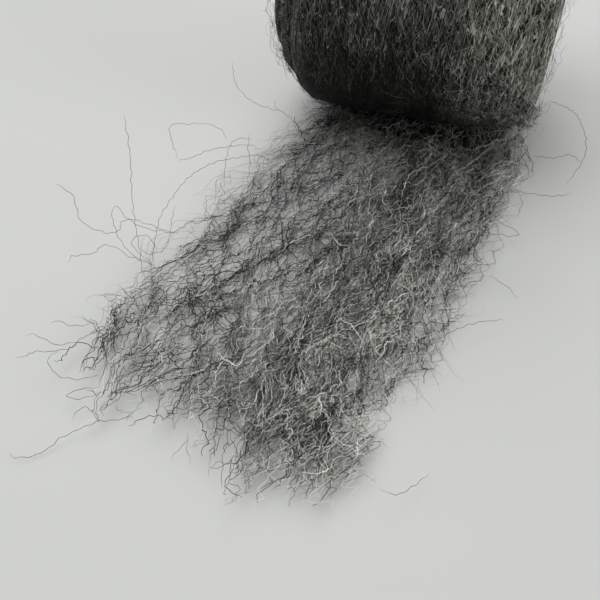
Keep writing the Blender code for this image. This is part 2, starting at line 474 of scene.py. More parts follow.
def fibre_bed_tree():
    """Lays many crinkled fibres along a sheet. Each is a three-sided sliver, as if shaved from wire."""
    tree = bpy.data.node_groups.new("fibre bed", "GeometryNodeTree")
    graph = Graph(tree)
    inputs = BED_GIVEN + list(BED_DEFAULTS)
    for name in inputs:
        kind = "NodeSocket" + BED_KINDS.get(name, "Float")
        tree.interface.new_socket(name=name, in_out="INPUT", socket_type=kind)
    tree.interface.new_socket(name="Fibres", in_out="OUTPUT", socket_type="NodeSocketGeometry")
    given = {name: graph.term(graph.add("NodeGroupInput"), name) for name in inputs}

    line = graph.add("GeometryNodeCurvePrimitiveLine", {"mode": "POINTS"}, {"End": (1.0, 0.0, 0.0)})
    strand = graph.add("GeometryNodeResampleCurve", {"mode": "COUNT"}, {"Curve": line.outputs[0]})
    graph.plug(strand.inputs["Count"], given["Knees"])
    copies = graph.add("GeometryNodeDuplicateElements", {"domain": "SPLINE"}, {"Geometry": strand.outputs[0]})
    graph.plug(copies.inputs["Amount"], given["Strands"])
    number = graph.term(copies, "Duplicate Index")
    share = graph.term(graph.add("GeometryNodeSplineParameter"), "Factor")

    def chance(low, high, salt):
        sockets = {2: low, 3: high, "ID": number, "Seed": given["Seed"] + salt}
        return graph.term(graph.add("FunctionNodeRandomValue", {"data_type": "FLOAT"}, sockets), 1)

    length = chance(given["Shortest"], given["Longest"], 1)
    along = (share - 0.5) * length
    slant = given["Spread"] * (chance(-1.0, 1.0, 2) + chance(-1.0, 1.0, 3))
    side_range = given["Side High"] - given["Side Low"]
    side_share = given["Side Low"] + side_range * chance(0.0, 1.0, 5) ** given["Lean"]
    first = given["Run Low"] * given["Sheet Run"] + CLEAR_OF_START * length
    last = given["Run High"] * given["Sheet Run"] - chance(0.0, given["Ragged"], 4)
    start = first + (last - CLEAR_OF_END * length - first) * chance(0.0, 1.0, 6)
    off_waist = (start / given["Sheet Run"] - WAIST_MIDDLE) / WAIST_REACH
    waist = given["Waist"] * graph.math("MAXIMUM", 1.0 - off_waist ** 2.0, 0.0)
    side_share = side_share - waist * graph.math("MAXIMUM", side_share, 0.0)
    loose = 1.0 + given["Fray"] * ((start + along) / given["Sheet Run"]) ** FRAY_POWER

    thread = number * NEXT_FIBRE + given["Seed"] * NEXT_BED
    bend = graph.wander(graph.xyz(along / given["Wave Length"], thread, 3.5))
    kink = graph.wander(graph.xyz(along / given["Crinkle Length"], thread, 40.5))
    run = start + along * graph.math("COSINE", slant)
    run = last - ((last - run) ** 2.0 + HOOK_BEND ** 2) ** 0.5 + given["Crinkle"] * kink[2]
    side = side_share * given["Sheet Width"] / 2.0 + along * graph.math("SINE", slant)
    side = side + given["Wave"] * loose * bend[0]
    pull = graph.wander(graph.xyz(run / given["Gather Run"], side / given["Gather Width"], 0.0), detail=0.5)
    side = side + given["Gather"] * pull[0]
    row = math.pi * ((run - given["Cell Start"]) / given["Cell Along"] - 0.5)
    opening = graph.math("SINE", math.tau * side / given["Cell Across"]) * graph.math("COSINE", row)
    dip = 0.5 + 0.5 * graph.math("COSINE", math.tau * side / given["Cell Across"]) * graph.math("COSINE", row)
    widening = CELL_OPENING - CELL_OPENING_TO_LEFT * side / given["Sheet Width"]
    begun = graph.between((run - given["Cell Start"]) / CELL_FADE_IN, 0.0, 1.0)
    side = side + given["Cell Pull"] * opening * widening * begun + given["Crinkle"] * kink[0]

    place = graph.xyz(
        graph.between(run / given["Sheet Run"], SHEET_START, SHEET_END),
        graph.between(side / given["Sheet Width"] + 0.5, SHEET_START, SHEET_END),
        0.0,
    )
    rise = chance(given["Rise Low"], given["Rise High"], 7)
    rise = rise * (1.0 - given["Thinning"] * run / given["Sheet Run"])
    rise = rise * (1.0 - given["Cell Dip"] * dip)
    rise = rise + UPWARD_SWAY * given["Wave"] * loose * bend[1] + given["Crinkle"] * kink[1]

    source = graph.add("GeometryNodeObjectInfo", sockets={"Object": given["Sheet"]})
    unwrapped = graph.add(
        "GeometryNodeInputNamedAttribute",
        {"data_type": "FLOAT_VECTOR"},
        {"Name": "ribbon"},
    )

    def on_sheet(value):
        sockets = {"Mesh": source.outputs["Geometry"], "Value": value}
        sockets.update({"UV Map": unwrapped.outputs[0], "Sample UV": place})
        return graph.add("GeometryNodeSampleUVSurface", {"data_type": "FLOAT_VECTOR"}, sockets).outputs[0]

    ground = on_sheet(graph.add("GeometryNodeInputPosition").outputs[0])
    outward = on_sheet(graph.add("GeometryNodeInputNormal").outputs[0])
    lifted = graph.add("ShaderNodeVectorMath", {"operation": "SCALE"}, {0: outward, "Scale": rise})
    moved = graph.add("ShaderNodeVectorMath", {"operation": "ADD"}, {0: ground, 1: lifted.outputs[0]})
    x, y, z = graph.parts(moved.outputs[0])
    over_table = graph.xyz(x, y, graph.math("MAXIMUM", z, TABLE_GAP))
    laid = graph.add("GeometryNodeSetPosition", sockets={0: copies.outputs[0], "Position": over_table})

    tip = graph.math("ABSOLUTE", 2.0 * share - 1.0) ** TIP_POWER
    girth = chance(given["Thin"], given["Thick"], 8) * (1.0 - TIP_THINNING * tip)
    tone = chance(0.0, 1.0, 9)
    toned = graph.add(
        "GeometryNodeStoreNamedAttribute",
        {"data_type": "FLOAT", "domain": "CURVE"},
        {"Geometry": laid.outputs[0], "Name": "tone", "Value": tone},
    )
    profile = graph.add(
        "GeometryNodeCurvePrimitiveCircle",
        {"mode": "RADIUS"},
        {"Resolution": 3, "Radius": 1.0},
    )
    slivers = graph.add(
        "GeometryNodeCurveToMesh",
        sockets={0: toned.outputs[0], 1: profile.outputs[0], "Scale": girth, "Fill Caps": True},
    )
    real = graph.add("GeometryNodeRealizeInstances", sockets={0: slivers.outputs[0]})
    finished = graph.add("GeometryNodeSetMaterial", sockets={0: real.outputs[0], "Material": given["Finish"]})
    graph.add("NodeGroupOutput", sockets={0: finished.outputs[0]})
    return tree


def fibre_bed(name, tree, sheet, finish, **sizes):
    """One piece of fibres on a sheet, as a plain mesh."""
    host = placed(name + "_host", bpy.data.meshes.new(name + "_host"))
    bed = host.modifiers.new("fibres", "NODES")
    bed.node_group = tree
    values = {"Sheet": sheet.thing, "Finish": finish, "Sheet Run": sheet.run, "Sheet Width": sheet.width}
    values.update(BED_DEFAULTS)
    values.update({key.replace("_", " ").title(): value for key, value in sizes.items()})
    for socket in tree.interface.items_tree:
        if socket.in_out == "INPUT":
            bed[socket.identifier] = values[socket.name]
    graph = bpy.context.evaluated_depsgraph_get()
    mesh = bpy.data.meshes.new_from_object(host.evaluated_get(graph))
    host.modifiers.remove(bed)
    bpy.data.objects.remove(host)
    mesh.name = name
    return placed(name, mesh)


# The core, a ribbon of the frame's own shape inside the fibres, dark with painted shade


CORE_STEPS_PER_TURN = 84
CORE_COLUMNS = 12
CORE_INSET = 0.0005
CORE_LEFT_INSET = 0.0020
CORE_RIGHT_INSET = 0.0032
CORE_EDGE_BULGE = 0.0010
CORE_TAIL = 0.024
CORE_TAIL_STEPS = 12
CORE_TAIL_TIP = 0.0006
CORE_TAIL_NARROWING = 0.62


def core_ring(angle):
    """The core's cross-section in the winding, as points round it."""
    outer = outer_radius(angle) - CORE_INSET
    middle = outer - LAYER_THICKNESS / 2 + CORE_INSET
    inner = outer - LAYER_THICKNESS + 2 * CORE_INSET

    def inset_edges(radius):
        left, right = turn_edges(radius, angle)
        return left + CORE_LEFT_INSET, right - CORE_RIGHT_INSET

    columns = [column / CORE_COLUMNS for column in range(CORE_COLUMNS + 1)]
    points = [round_axis(angle, mix(*inset_edges(outer), share), outer) for share in columns]
    points.append(round_axis(angle, inset_edges(middle)[1] + CORE_EDGE_BULGE, middle))
    points += [round_axis(angle, mix(*inset_edges(inner), share), inner) for share in reversed(columns)]
    points.append(round_axis(angle, inset_edges(middle)[0] - CORE_EDGE_BULGE, middle))
    return points


def core_tail_ring(distance, root):
    """The core's cross-section on the table, which thins out to an edge that the fibres hide."""
    share = distance / CORE_TAIL
    points = []
    thickness_left = mix(CORE_TAIL_TIP / LAYER_THICKNESS, 1.0, (1.0 - share) ** 2)
    for point in root:
        side = (point.x - TAIL_SHIFT) * mix(1.0, CORE_TAIL_NARROWING, share)
        height = CORE_INSET + (point.z - CORE_INSET) * thickness_left
        free = tail_point(distance, side, 0.0)
        points.append(Vector((free.x, free.y, height)))
    return points


def wool_core(finish):
    body = bmesh.new()
    root = core_ring(0.0)
    rings = []
    for step in range(CORE_TAIL_STEPS, 0, -1):
        rings.append(core_tail_ring(CORE_TAIL * step / CORE_TAIL_STEPS, root))
    count = round(TURNS * CORE_STEPS_PER_TURN)
    for step in range(count + 1):
        rings.append(core_ring(math.tau * TURNS * step / count))
    rings = [[body.verts.new(point) for point in ring] for ring in rings]
    for first, second in zip(rings, rings[1:]):
        join_rings(body, first, second)
    for ring in (rings[0], rings[-1]):
        body.faces.new(ring)
    bmesh.ops.triangulate(body, faces=[face for face in body.faces if len(face.verts) > 4])
    piece = mesh_piece("wool_core", body, finish)
    piece.data.shade_smooth()
    return piece


# A thin layer with gaps through the free end, on which its finest fibres are drawn


MAT_STEPS = 96
MAT_COLUMNS = 28
MAT_ROOT_HEIGHT = 0.0016
MAT_END_HEIGHT = 0.0007
MAT_THICKNESS = 0.00010
MAT_DIP = 0.45
MAT_START = 0.006
MAT_LEFT = 0.06
MAT_RIGHT = 0.96


def cell_dip(distance, side):
    """How deep the free end dips, from 0 on a rope to 1 in the middle of a cell. The cells are staggered."""
    rows = math.cos(math.pi * ((distance - CELL_START) / CELL_PITCH_ALONG - 0.5))
    return 0.5 + 0.5 * rows * math.cos(math.tau * side / CELL_PITCH_ACROSS)


def mat_point(u, v, above):
    """A point of the layer. It is lower between the ropes, as the free end itself is."""
    distance = mix(MAT_START, TAIL_LENGTH, u)
    side = (2 * mix(MAT_LEFT, MAT_RIGHT, v) - 1) * tail_half_width(distance)
    height = mix(MAT_ROOT_HEIGHT, MAT_END_HEIGHT, u) * (1.0 - MAT_DIP * cell_dip(distance, side))
    return tail_point(distance, side, height + above)


def matted_layer(finish):
    """The layer's two faces and the rim between them."""
    body = bmesh.new()
    rims = []
    for above in (0.0, MAT_THICKNESS):
        rows = []
        for u in even(MAT_STEPS):
            points = [mat_point(u, v, above) for v in even(MAT_COLUMNS)]
            rows.append([body.verts.new(point) for point in points])
        for row, next_row in zip(rows, rows[1:]):
            for column in range(MAT_COLUMNS):
                body.faces.new((row[column], row[column + 1], next_row[column + 1], next_row[column]))
        right_side = [row[-1] for row in rows[1:]]
        left_side = [row[0] for row in rows[-2:0:-1]]
        rims.append(rows[0] + right_side + rows[-1][-2::-1] + left_side)
    join_rings(body, *rims)
    return mesh_piece("matted_layer", body, finish)


# Single fibres that spring out of the wool. Each is given where the photograph shows it, as pixels across and
# down its frame of 600, with its height over the table in millimetres.


PHOTO_SIZE = 600
SPRUNG_FIBRES = {
    "tall": [(124, 115, 45), (130, 155, 34), (132, 196, 22), (135, 222, 14), (141, 259, 6), (142, 278, 3)],
    "high_left": [(55, 183, 43), (73, 196, 36), (78, 215, 30), (86, 225, 26), (107, 233, 20),
                  (119, 230, 17), (122, 222, 14), (135, 220, 12), (170, 232, 6), (180, 232, 3)],
    "left_hook": [(69, 262, 18), (72, 256, 17), (84, 255, 15), (96, 252, 13), (101, 246, 12),
                  (115, 247, 10), (130, 257, 6), (141, 259, 4), (154, 266, 3)],
    "long_arch": [(151, 272, 3), (153, 253, 6), (156, 234, 10), (161, 215, 12), (172, 198, 14),
                  (184, 182, 15), (199, 170, 15), (216, 162, 14), (230, 159, 12), (249, 156, 9),
                  (260, 156, 6), (274, 163, 3)],
    "round_loop": [(175, 205, 8), (172, 219, 7), (170, 234, 6), (166, 247, 5), (157, 253, 5),
                   (145, 253, 5), (141, 246, 6), (145, 236, 7)],
    "ear": [(178, 233, 3), (153, 230, 5), (136, 224, 8), (124, 215, 10), (117, 206, 12), (112, 211, 12),
            (113, 220, 11), (115, 228, 10), (122, 243, 7), (138, 259, 4), (155, 265, 3)],
    "small_ring": [(150, 262, 3), (138, 252, 5), (132, 244, 6), (134, 238, 6), (142, 235, 6),
                   (150, 238, 5), (154, 246, 4), (152, 256, 3)],
    "low_arch": [(178, 161, 14), (193, 157, 13), (207, 151, 12), (226, 147, 10), (249, 145, 6),
                 (262, 150, 3)],
    "steep_arch": [(224, 188, 3), (225, 167, 8), (229, 148, 12), (237, 139, 12), (251, 139, 9)],
    "faint_arch": [(178, 159, 10), (171, 138, 12), (171, 125, 14), (189, 124, 14), (207, 124, 13),
                   (220, 129, 11), (228, 140, 8)],
    "upright": [(250, 132, 14), (248, 148, 11), (250, 163, 7), (247, 184, 3)],
    "root_wave": [(275, 100, 18), (276, 108, 16), (287, 115, 14), (295, 125, 11), (296, 134, 7)],
    "roll_left": [(232, 62, 24), (236, 84, 22), (250, 100, 19), (268, 108, 17), (285, 112, 15)],
    "tip_wire": [(15, 358, 15), (25, 356, 13), (34, 352, 8), (55, 351, 6), (77, 346, 4)],
    "tip_wave": [(25, 335, 10), (36, 335, 9), (46, 340, 8), (59, 345, 7), (82, 340, 4)],
    "tip_fork": [(51, 323, 9), (59, 321, 8), (73, 326, 7), (96, 323, 5)],
    "tip_loop": [(59, 351, 6), (49, 357, 6), (50, 367, 6), (61, 377, 5), (80, 379, 4), (99, 375, 4)],
    "flat_loop": [(99, 392, 3), (92, 396, 3), (77, 399, 3), (66, 395, 3), (82, 389, 4), (101, 387, 4)],
    "long_wire": [(9, 454, 1), (14, 457, 1), (29, 457, 1), (48, 449, 1), (59, 439, 2), (84, 427, 2),
                  (101, 421, 3), (122, 419, 3), (142, 407, 4)],
    "low_curl": [(71, 422, 1), (78, 410, 2), (88, 408, 2), (96, 417, 3), (99, 422, 3), (95, 412, 4),
                 (94, 403, 4), (99, 392, 4)],
    "end_hair": [(171, 459, 1), (178, 450, 2), (186, 442, 3), (189, 432, 5)],
    "end_hook": [(191, 464, 1), (187, 449, 3), (188, 436, 5)],
    "end_stub": [(173, 431, 2), (176, 424, 3), (179, 415, 5)],
    "right_arch": [(452, 172, 5), (448, 148, 9), (449, 134, 12), (459, 125, 14), (474, 126, 12),
                   (493, 133, 8)],
    "bent_wire": [(491, 217, 3), (505, 225, 5), (519, 233, 6), (513, 236, 6), (495, 234, 5), (475, 231, 4)],
    "right_loop": [(550, 101, 22), (569, 109, 30), (579, 119, 34), (586, 141, 36), (583, 160, 34),
                   (567, 184, 28)],
    "right_wave": [(534, 156, 14), (553, 158, 22), (570, 155, 28), (581, 162, 32)],
    "right_low_wave": [(505, 190, 5), (533, 194, 10), (552, 196, 14), (572, 194, 20)],
    "side_stub": [(490, 276, 3), (506, 286, 4), (518, 298, 3)],
    "side_wire": [(392, 373, 3), (410, 356, 4), (430, 345, 5), (455, 330, 5), (480, 322, 4), (505, 320, 3)],
    "corner_hair": [(380, 488, 4), (395, 495, 4), (412, 487, 3), (430, 473, 2)],
}
# Pale curls whose near-white finish is a painted highlight, standing for glints
PAINTED_GLINT_FIBRES = {
    "curl_a": [(420, 201, 6), (425, 209, 7), (424, 216, 7), (420, 220, 6)],
    "curl_b": [(384, 270, 6), (389, 275, 7), (385, 282, 6)],
    "curl_c": [(447, 154, 7), (431, 165, 8), (417, 170, 8), (409, 176, 8), (403, 191, 7), (401, 197, 6)],
    "curl_d": [(502, 131, 7), (489, 148, 8), (468, 165, 8), (456, 173, 7)],
    "curl_e": [(159, 346, 4), (162, 359, 5), (165, 367, 4)],
    "curl_f": [(178, 375, 4), (191, 374, 6), (203, 369, 6), (210, 363, 4)],
    "curl_g": [(215, 346, 4), (220, 356, 6), (230, 362, 6), (237, 366, 6), (244, 355, 6), (246, 346, 6),
               (243, 338, 5)],
    "curl_h": [(259, 388, 5), (256, 398, 6), (253, 405, 5)],
    "curl_i": [(264, 405, 5), (259, 415, 6), (258, 424, 5)],
    "curl_j": [(283, 327, 5), (288, 331, 6), (293, 333, 5)],
    "curl_k": [(383, 176, 7), (386, 190, 8), (384, 196, 7), (380, 190, 7)],
    "curl_l": [(330, 232, 6), (338, 243, 7), (350, 247, 6)],
    "curl_m": [(338, 318, 5), (352, 326, 6), (362, 341, 5)],
    "curl_n": [(318, 395, 5), (322, 408, 6), (316, 420, 5)],
    "curl_o": [(355, 435, 5), (358, 450, 6), (354, 462, 5)],
}
FIBRE_STEP = 0.0010
SPRUNG_GIRTH = 0.000075
PAINTED_GLINT_GIRTH = 0.00010

# A single fibre's fine crimp: how far it strays, and its two pitches in steps along the fibre
FIBRE_CRIMP = 0.00022
SIDE_CRIMP_PITCH = 3.7
OVER_CRIMP_PITCH = 5.3
NEXT_CRIMP = 0.37
OVER_CRIMP_SHIFT = 2.3

# It tapers over its last steps to this share of its girth, and its sides are measured from this direction
TAPER_STEPS = 4
TIP_GIRTH = 0.35
SIDE_GUIDE = Vector((0.31, 0.22, 0.92))


def seen_place(across, down, height):
    """The point at this height over the table that the photograph shows at this pixel."""
    right, up, look = camera_axes()
    half = FILM_WIDTH / 2 / CAMERA_LENS
    ray = look + right * half * (2 * across / PHOTO_SIZE - 1) + up * half * (1 - 2 * down / PHOTO_SIZE)
    return CAMERA_PLACE + ray * (height - CAMERA_PLACE.z) / ray.z


def smooth_route(points):
    """Even steps along a soft curve through the points."""
    ends = [2 * points[0] - points[1]] + points + [2 * points[-1] - points[-2]]
    route = []
    for before, start, finish, after in zip(ends, ends[1:], ends[2:], ends[3:]):
        count = max(round((finish - start).length / FIBRE_STEP), 2)
        for step in range(count):
            t = step / count
            bow = (finish - before) * t + (2 * before - 5 * start + 4 * finish - after) * t * t
            route.append(start + 0.5 * (bow + (3 * start - 3 * finish + after - before) * t ** 3))
    return route + [points[-1]]


def add_fibre(body, route, girth, start):
    """A three-sided sliver along the route, with a fine crimp."""
    rings = []
    for index, point in enumerate(route):
        ahead = (route[min(index + 1, len(route) - 1)] - route[max(index - 1, 0)]).normalized()
        side = ahead.cross(SIDE_GUIDE).normalized()
        over = side.cross(ahead)
        crimp = side * wave(index, SIDE_CRIMP_PITCH, start)
        crimp += over * wave(index, OVER_CRIMP_PITCH, OVER_CRIMP_SHIFT * start)
        from_tip = min(index, len(route) - 1 - index) / TAPER_STEPS
        size = girth * min(mix(TIP_GIRTH, 1.0, from_tip), 1.0)
        ring = []
        for corner in range(3):
            turn = math.tau * corner / 3
            spoke = side * math.cos(turn) + over * math.sin(turn)
            ring.append(body.verts.new(point + crimp * FIBRE_CRIMP + spoke * size))
        rings.append(ring)
    for first, second in zip(rings, rings[1:]):
        join_rings(body, first, second)
    body.faces.new(rings[0][::-1])
    body.faces.new(rings[-1])


def single_fibres(name, routes, girth, finish):
    """One piece of single fibres, each on its own route."""
    body = bmesh.new()
    for number, route in enumerate(routes.values()):
        points = [seen_place(across, down, height / 1000) for across, down, height in route]
        add_fibre(body, smooth_route(points), girth, NEXT_CRIMP * number)
    return mesh_piece(name, body, finish)


# Finishes


def new_finish(name):
    material = bpy.data.materials.new(name)
    material.use_nodes = True
    return material, Graph(material.node_tree)


def end_in_surface(graph, sockets):
    """The surface that a finish ends in."""
    shader = graph.add("ShaderNodeBsdfPrincipled", sockets=sockets)
    graph.add("ShaderNodeOutputMaterial", sockets={0: shader.outputs[0]})


def colour(value):
    return (value[0], value[1], value[2], 1.0)


def mixed_colour(graph, share, low, high):
    node = graph.add("ShaderNodeMix", {"data_type": "RGBA"}, {0: share, 6: low, 7: high})
    return node.outputs[2]


def grey(tone, blue_share):
    """A grey whose blue is a little less, as steel's is."""
    return (tone, tone, blue_share * tone, 1.0)


# Fibres in painted shade and fibres in painted highlight lie in blotches of this scale, and few are between
# the two
BLOTCH_SCALE = 90.0
BLOTCH_STRENGTH = 0.6
TONE_CONTRAST = 2.5

# A dark fibre is rougher than a light one, and both vary in blotches
DARK_ROUGHNESS = 0.50
LIGHT_SMOOTHING = 0.15
BLOTCH_ROUGHNESS = 0.12


# Each kind of fibre: its dark and its light colour, which are painted shade and painted highlight on one
# steel, the share of light ones, how that share grows to the right and upwards for each metre as painted
# light, and its gloss
FIBRE_KINDS = {
    "dull_fibre": ((0.018, 0.018, 0.0165), (0.90, 0.90, 0.84), 0.47, 3.0, 0.2, 0.5),
    "fair_fibre": ((0.006, 0.006, 0.0053), (0.34, 0.34, 0.305), 0.32, 7.0, 9.0, 0.15),
    "curly_fibre": ((0.010, 0.010, 0.009), (0.44, 0.44, 0.40), 0.26, 13.0, 7.0, 0.15),
    # Mostly painted highlight: more than half of these fibres are painted lit
    "mostly_lit_fibre": ((0.05, 0.05, 0.046), (0.80, 0.80, 0.75), 0.55, 6.0, 0.0, 0.5),
    # Painted glints: both colours are a painted highlight
    "painted_glint_fibre": ((0.80, 0.80, 0.77), (0.93, 0.93, 0.90), 0.60, 0.0, 0.0, 0.5),
}


def steel_fibre(name, dark, light, painted_lit_share, painted_light_rightward, painted_light_upward, gloss):
    """Bare steel slivers in a painted shaded and a painted lit colour, more of them painted lit to the right
    and upwards. A low gloss keeps the dark ones dark.
    """
    material, graph = new_finish(name)
    tone = graph.term(graph.add("ShaderNodeAttribute", {"attribute_name": "tone"}), "Fac")
    place = graph.add("ShaderNodeTexCoord").outputs["Object"]
    blotch = graph.noise(place, scale=BLOTCH_SCALE, detail=3.0)
    x, y, z = graph.parts(place)
    across = x * math.cos(TAIL_SKEW) - y * math.sin(TAIL_SKEW)
    # Painted light: the share of lit fibres grows to the right and upwards
    painted_light_slope = painted_light_rightward * across + painted_light_upward * (z - AXIS_HEIGHT)
    share = tone + BLOTCH_STRENGTH * (blotch - 0.5) - (1.0 - painted_lit_share) + painted_light_slope
    base = mixed_colour(graph, share * TONE_CONTRAST, colour(dark), colour(light))
    rough = DARK_ROUGHNESS - LIGHT_SMOOTHING * tone + BLOTCH_ROUGHNESS * (blotch - 0.5)
    sockets = {"Base Color": base, "Metallic": 0.5, "Roughness": rough, "Specular IOR Level": gloss}
    end_in_surface(graph, sockets)
    return material


# How far apart in the noise two layers lie whose turns differ by one radian
NEXT_ROLL_LAYER = 40.0


def fibre_lines(graph, place, pitch, run, turn, width):
    """Fine wavy lines, from 0 to 1, that run round the roll. Each is a level line of a stretched noise."""
    x, round_roll, depth = place
    across = x * math.cos(turn) + round_roll * math.sin(turn)
    along = round_roll * math.cos(turn) - x * math.sin(turn)
    noise_place = graph.xyz(across / pitch, along / run, depth / pitch + NEXT_ROLL_LAYER * turn)
    height = graph.noise(noise_place, detail=2.5)
    away = graph.math("ABSOLUTE", height - 0.5)
    return graph.math("MAXIMUM", 1.0 - away / width, 0.0)


# Each layer of fibres drawn on the roll: its turn, its pitch across and along, half the width of a line as a
# share of the noise, and its grey
ROLL_FIBRES = (
    (0.08, 0.0009, 0.012, 0.100, 0.008),
    (-0.16, 0.0010, 0.014, 0.075, 0.034),
    (0.24, 0.0011, 0.012, 0.055, 0.004),
    (-0.06, 0.0011, 0.016, 0.050, 0.100),
    (0.36, 0.0012, 0.010, 0.036, 0.180),
    (-0.42, 0.0013, 0.010, 0.030, 0.300),
    (0.10, 0.0016, 0.016, 0.022, 0.560),
)
ROLL_BLUE = 0.88
# Painted shade: the near-black of the wool's depth
NEAR_BLACK = (0.003, 0.003, 0.0027, 1.0)

# A layer with a grey above this is a painted lit one. How steeply a dark and a light line set in at their
# edges.
LIGHT_TONE = 0.03
DARK_LINE_EDGE = 2.0
LIGHT_LINE_EDGE = 3.0

# Painted light makes the roll lighter from these places towards its ends, and with height: by how much, for
# each metre
RIGHT_GLOW_START = 0.008
LEFT_GLOW_START = -0.022
RIGHT_GLOW = 22.0
LEFT_GLOW = 10.0
UPWARD_GLOW = 10.0

# How many of its fibres are painted lit halfway up, how that grows with the painted light, and where it stops
LIGHT_SHARE = 0.46
TUFT_LIGHT = 0.6
GLOW_LIGHT = 0.7
MOST_LIGHT = 0.85

# How much of their colour shows halfway up, and the least that shows; the rest is painted shade, which takes
# more of it lower down
GLOW_GAIN = 0.42
LEAST_GAIN = 0.12

# The tufts are longer round the roll than along its axis
TUFT_SCALE_ALONG = 170.0
TUFT_SCALE_ROUND = 60.0

# A drawn fibre's height in the bump: that of the lowest layer, and how much more each layer has
LOWEST_LINE = 0.4
NEXT_LINE = 0.1


def core_in_painted_shade():
    """The depth of the wool in painted shade: near-black, with fibres that run round the roll, and painted
    light that makes it lighter to its right, at its left end and upwards.
    """
    material, graph = new_finish("core_in_painted_shade")
    x, y, z = graph.parts(graph.add("ShaderNodeTexCoord").outputs["Object"])
    down = AXIS_HEIGHT - z
    radius = (y * y + down * down) ** 0.5
    place = (x, graph.math("ARCTAN2", y, down) * ROLL_RADIUS, radius)
    tuft_place = graph.xyz(x * TUFT_SCALE_ALONG, y * TUFT_SCALE_ROUND, z * TUFT_SCALE_ROUND)
    tufts = graph.noise(tuft_place, detail=2.0) - 0.5
    # Painted light: lighter to the right, at the left end and upwards
    to_right = RIGHT_GLOW * graph.math("MAXIMUM", x - RIGHT_GLOW_START, 0.0)
    to_left = LEFT_GLOW * graph.math("MAXIMUM", LEFT_GLOW_START - x, 0.0)
    painted_light = to_right + to_left + UPWARD_GLOW * (z - AXIS_HEIGHT)
    light = graph.math("MINIMUM", LIGHT_SHARE + TUFT_LIGHT * tufts + GLOW_LIGHT * painted_light, MOST_LIGHT)
    painted_shade_gain = graph.between(GLOW_GAIN + painted_light, LEAST_GAIN, 1.0)
    base = NEAR_BLACK
    height = 0.0
    for number, (turn, pitch, run, width, tone) in enumerate(ROLL_FIBRES):
        line = fibre_lines(graph, place, pitch, run, turn, width)
        share = line * DARK_LINE_EDGE
        if tone > LIGHT_TONE:
            share = (line + light - 1.0) * LIGHT_LINE_EDGE
        base = mixed_colour(graph, graph.between(share, 0.0, 1.0), base, grey(tone, ROLL_BLUE))
        height = graph.math("MAXIMUM", height, line * (LOWEST_LINE + NEXT_LINE * number))
    # Painted shade: lower down, more of the colour gives way to near-black
    base = mixed_colour(graph, painted_shade_gain, NEAR_BLACK, base)
    bump = graph.add("ShaderNodeBump", sockets={"Strength": 0.6, "Distance": 0.0004, "Height": height})
    sockets = {"Base Color": base, "Metallic": 0.3, "Roughness": 0.65, "Specular IOR Level": 0.15}
    end_in_surface(graph, {**sockets, "Normal": bump.outputs[0]})
    return material


# Each layer of fibres drawn on the free end, in the same five numbers. The light greys are painted highlight
# on lit fibres, the dark ones painted shade.
DRAWN_FIBRES = (
    (0.10, 0.0009, 0.0060, 0.085, 0.150),
    (-0.45, 0.0010, 0.0055, 0.070, 0.340),
    (0.50, 0.0010, 0.0060, 0.055, 0.060),
    (-0.20, 0.0011, 0.0070, 0.050, 0.500),
    (0.30, 0.0012, 0.0065, 0.040, 0.035),
    (-0.75, 0.0012, 0.0055, 0.036, 0.550),
    (0.02, 0.0014, 0.0080, 0.030, 0.700),
)
DRAWN_BLUE = 0.93
DRAWN_GROUND = (0.02, 0.02, 0.0185, 1.0)

# Over how much of the noise a drawn line fades at its edge, and how far apart in the noise the layers lie
LINE_FADE = 0.012
NEXT_DRAWN_LAYER = 11.3

# The layer fades out towards its borders. The left and right ones lie at these shares of the free end's half
# width, the last one at this distance before its end, and the fades are this wide.
LEFT_BORDER = -0.62
LEFT_FADE = 1.50
RIGHT_BORDER = 0.90
RIGHT_FADE = 0.30
END_BORDER = 0.002
END_FADE = 0.018

# Patches make the borders ragged: their scales, and how much of them each border takes
PATCH_SCALE_ACROSS = 110.0
PATCH_SCALE_ALONG = 55.0
LEFT_PATCHES = 0.6
RIGHT_PATCHES = 1.4
END_PATCHES = 1.2

# The right border draws in here, as the beds over it do
DRAWN_WAIST = 0.15
DRAWN_WAIST_PLACE = 0.150
DRAWN_WAIST_REACH = 0.030

# How far the cells open in the layer, and how much less where it is closest
CELL_THINNING = 0.8
CLOSE_CELLS = 0.7
CLOSENESS_POWER = 1.5

# The drawn fibres stray by this much, in bends of this size
WARP = 0.0007
WARP_SIZE = 0.004


